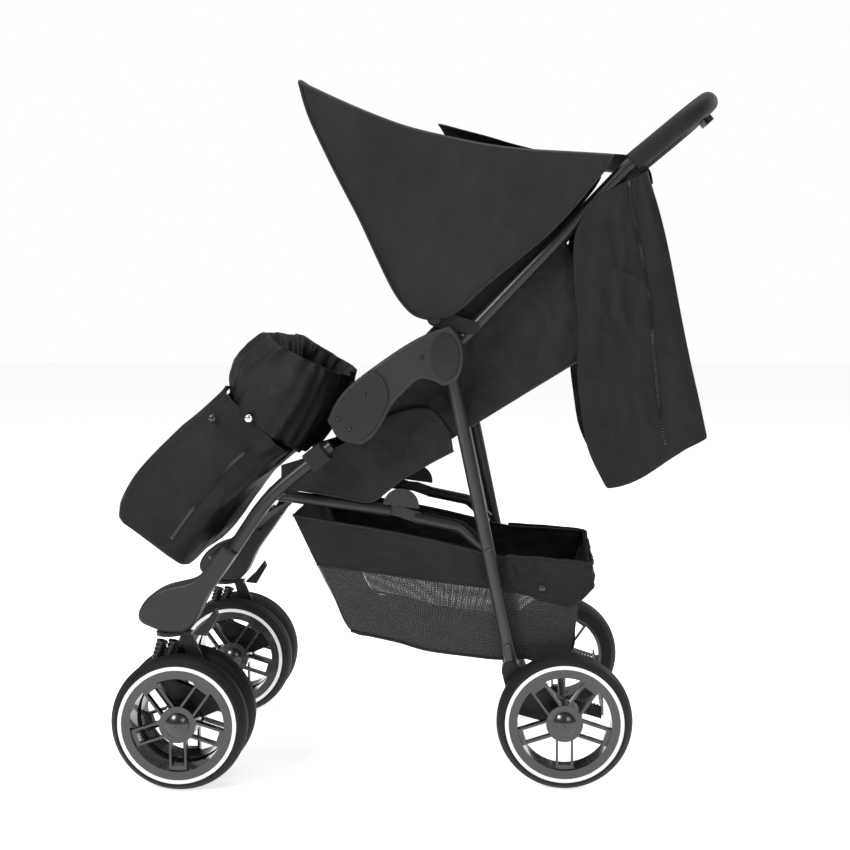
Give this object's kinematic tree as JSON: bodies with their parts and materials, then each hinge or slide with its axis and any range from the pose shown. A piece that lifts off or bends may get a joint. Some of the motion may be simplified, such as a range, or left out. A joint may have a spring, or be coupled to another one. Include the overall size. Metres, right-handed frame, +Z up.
{
  "type": "folding pushchair",
  "caption": "Black folding pushchair with twin swivel front wheels, sprung casters, hood, foot cover, reclining seat, rear curtain and shopping basket.",
  "frame": {"origin": "on the ground, midway along the length and on the middle plane", "axes": "+X towards the rear, +Y towards the pushchair's right side, +Z up"},
  "size_m": [0.9059, 0.512, 1.032],
  "materials": {
    "tyre_rubber": "matt black foam rubber with a smooth sidewall",
    "rim_plastic": "black moulded rim with a pale painted ring",
    "fabric": "black woven polyester, slightly shiny",
    "webbing": "black woven webbing",
    "steel": "zinc plated steel",
    "grey_steel": "grey plated strip",
    "painted_tube": "satin dark grey powder coat",
    "grip_foam": "dense black foam",
    "gloss_trim": "glossy black moulded trim",
    "moulded_plastic": "dark grey moulded plastic, fine grain"
  },
  "bodies": {
    "front_frame": {"armrest_left": "moulded_plastic", "armrest_pins": "steel", "armrest_right": "moulded_plastic", "basket": "fabric", "boot_cover": "fabric", "buckle": "moulded_plastic", "crotch_strap": "webbing", "footrest": "moulded_plastic", "front_housing_left": "moulded_plastic", "front_housing_right": "moulded_plastic", "front_leg_left": "painted_tube", "front_leg_right": "painted_tube", "hub_medallions": "gloss_trim", "leg_collars": "moulded_plastic", "pod_covers": "moulded_plastic", "seat_cushion": "fabric", "seat_sides": "fabric"},
    "wheel_front_left_outer": {"rim_front_left_outer": "rim_plastic", "tyre_front_left_outer": "tyre_rubber"},
    "wheel_front_left_inner": {"rim_front_left_inner": "rim_plastic", "tyre_front_left_inner": "tyre_rubber"},
    "wheel_front_right_inner": {"rim_front_right_inner": "rim_plastic", "tyre_front_right_inner": "tyre_rubber"},
    "wheel_front_right_outer": {"rim_front_right_outer": "rim_plastic", "tyre_front_right_outer": "tyre_rubber"},
    "wheel_rear_left": {"rim_rear_left": "rim_plastic", "tyre_rear_left": "tyre_rubber"},
    "wheel_rear_right": {"rim_rear_right": "rim_plastic", "tyre_rear_right": "tyre_rubber"},
    "caster_left": {"swivel_crown_left": "moulded_plastic"},
    "suspension_left": {"suspension_arm_left": "moulded_plastic", "front_springs_left": "steel", "front_axle_left": "steel"},
    "swivel_lock_left": {"swivel_lock_left": "moulded_plastic"},
    "caster_right": {"swivel_crown_right": "moulded_plastic"},
    "suspension_right": {"suspension_arm_right": "moulded_plastic", "front_springs_right": "steel", "front_axle_right": "steel"},
    "swivel_lock_right": {"swivel_lock_right": "moulded_plastic"},
    "rear_frame": {"rear_leg_left": "painted_tube", "rear_leg_right": "painted_tube", "rear_housings": "moulded_plastic", "rear_axle": "steel", "rear_rivets": "steel"},
    "brake": {"brake_pedals": "moulded_plastic", "brake_link": "grey_steel"},
    "push_bar": {"push_tube": "painted_tube", "grip": "grip_foam", "canopy_hinges": "moulded_plastic", "rear_curtain": "fabric"},
    "release": {"release_trigger": "moulded_plastic"},
    "canopy_hood": {"canopy": "fabric", "canopy_bow": "steel"},
    "rail_front": {"rail_front": "painted_tube", "rail_hinge_covers": "moulded_plastic"},
    "rail_rear": {"rail_rear": "painted_tube"},
    "backrest": {"back_shell": "moulded_plastic", "back_cushion": "fabric", "harness_straps": "webbing"},
    "buckle_button": {"buckle_button": "moulded_plastic"}
  },
  "joints": [
    {"name": "fold", "type": "hinge", "parent": "front_frame", "child": "push_bar", "pos_m": [0.056, 0, 0.636], "axis": [0, -1, 0], "range_deg": [0, 135], "deforming": ["rear_curtain"]},
    {"name": "rear_legs_fold", "type": "hinge", "parent": "front_frame", "child": "rear_frame", "pos_m": [0.056, 0, 0.636], "axis": [0, 1, 0], "range_deg": [0, 36]},
    {"name": "canopy_fold", "type": "hinge", "parent": "push_bar", "child": "canopy_hood", "pos_m": [0.039, 0, 0.69], "axis": [0, 1, 0], "range_deg": [0, 75], "deforming": ["canopy"]},
    {"name": "seat_rail_fold", "type": "hinge", "parent": "front_frame", "child": "rail_front", "pos_m": [-0.212, 0, 0.426], "axis": [0, -1, 0], "range_deg": [0, 29]},
    {"name": "seat_rail_break", "type": "hinge", "parent": "rail_front", "child": "rail_rear", "pos_m": [-0.015, 0, 0.4], "axis": [0, 1, 0], "range_deg": [0, 114]},
    {"name": "backrest_recline", "type": "hinge", "parent": "front_frame", "child": "backrest", "pos_m": [-0.03, 0, 0.45], "axis": [0, -1, 0], "range_deg": [0, 40]},
    {"name": "swivel_left", "type": "hinge", "parent": "front_frame", "child": "caster_left", "pos_m": [-0.355, -0.1965, 0.2], "axis": [0, 0, 1], "continuous": true},
    {"name": "suspension_left", "type": "hinge", "parent": "caster_left", "child": "suspension_left", "pos_m": [-0.285, -0.1965, 0.118], "axis": [0, 1, 0], "range_deg": [0, 6], "stiffness_Nm_per_rad": 30, "springref_deg": -6.88, "deforming": ["front_springs_left"]},
    {"name": "swivel_lock_left", "type": "slide", "parent": "front_frame", "child": "swivel_lock_left", "axis": [0.4472, 0, 0.8944], "range_m": [0, 0.006]},
    {"name": "spin_front_left_outer", "type": "hinge", "parent": "suspension_left", "child": "wheel_front_left_outer", "pos_m": [-0.335, -0.228, 0.1], "axis": [0, 1, 0], "continuous": true},
    {"name": "spin_front_left_inner", "type": "hinge", "parent": "suspension_left", "child": "wheel_front_left_inner", "pos_m": [-0.335, -0.165, 0.1], "axis": [0, 1, 0], "continuous": true},
    {"name": "spin_rear_left", "type": "hinge", "parent": "rear_frame", "child": "wheel_rear_left", "pos_m": [0.229, -0.206, 0.1], "axis": [0, 1, 0], "continuous": true},
    {"name": "swivel_right", "type": "hinge", "parent": "front_frame", "child": "caster_right", "pos_m": [-0.355, 0.1965, 0.2], "axis": [0, 0, 1], "continuous": true},
    {"name": "suspension_right", "type": "hinge", "parent": "caster_right", "child": "suspension_right", "pos_m": [-0.285, 0.1965, 0.118], "axis": [0, 1, 0], "range_deg": [0, 6], "stiffness_Nm_per_rad": 30, "springref_deg": -6.88, "deforming": ["front_springs_right"]},
    {"name": "swivel_lock_right", "type": "slide", "parent": "front_frame", "child": "swivel_lock_right", "axis": [0.4472, 0, 0.8944], "range_m": [0, 0.006]},
    {"name": "spin_front_right_outer", "type": "hinge", "parent": "suspension_right", "child": "wheel_front_right_outer", "pos_m": [-0.335, 0.228, 0.1], "axis": [0, 1, 0], "continuous": true},
    {"name": "spin_front_right_inner", "type": "hinge", "parent": "suspension_right", "child": "wheel_front_right_inner", "pos_m": [-0.335, 0.165, 0.1], "axis": [0, 1, 0], "continuous": true},
    {"name": "spin_rear_right", "type": "hinge", "parent": "rear_frame", "child": "wheel_rear_right", "pos_m": [0.229, 0.206, 0.1], "axis": [0, 1, 0], "continuous": true},
    {"name": "brake_press", "type": "hinge", "parent": "rear_frame", "child": "brake", "pos_m": [0.229, 0, 0.1], "axis": [0, 1, 0], "range_deg": [0, 12]},
    {"name": "release_press", "type": "slide", "parent": "push_bar", "child": "release", "axis": [-0.6347, 0, 0.7727], "range_m": [0, 0.004], "stiffness_N_per_m": 400, "springref_m": -0.004},
    {"name": "buckle_press", "type": "slide", "parent": "front_frame", "child": "buckle_button", "axis": [0, 0, -1], "range_m": [0, 0.003], "stiffness_N_per_m": 300, "springref_m": -0.003}
  ],
  "couplings": [
    {"joint": "rear_legs_fold", "follows": "fold", "ratio": 0.25926},
    {"joint": "canopy_fold", "follows": "fold", "ratio": 0.54815},
    {"joint": "seat_rail_fold", "follows": "fold", "ratio": 0.21096},
    {"joint": "seat_rail_break", "follows": "fold", "ratio": 0.8363}
  ]
}
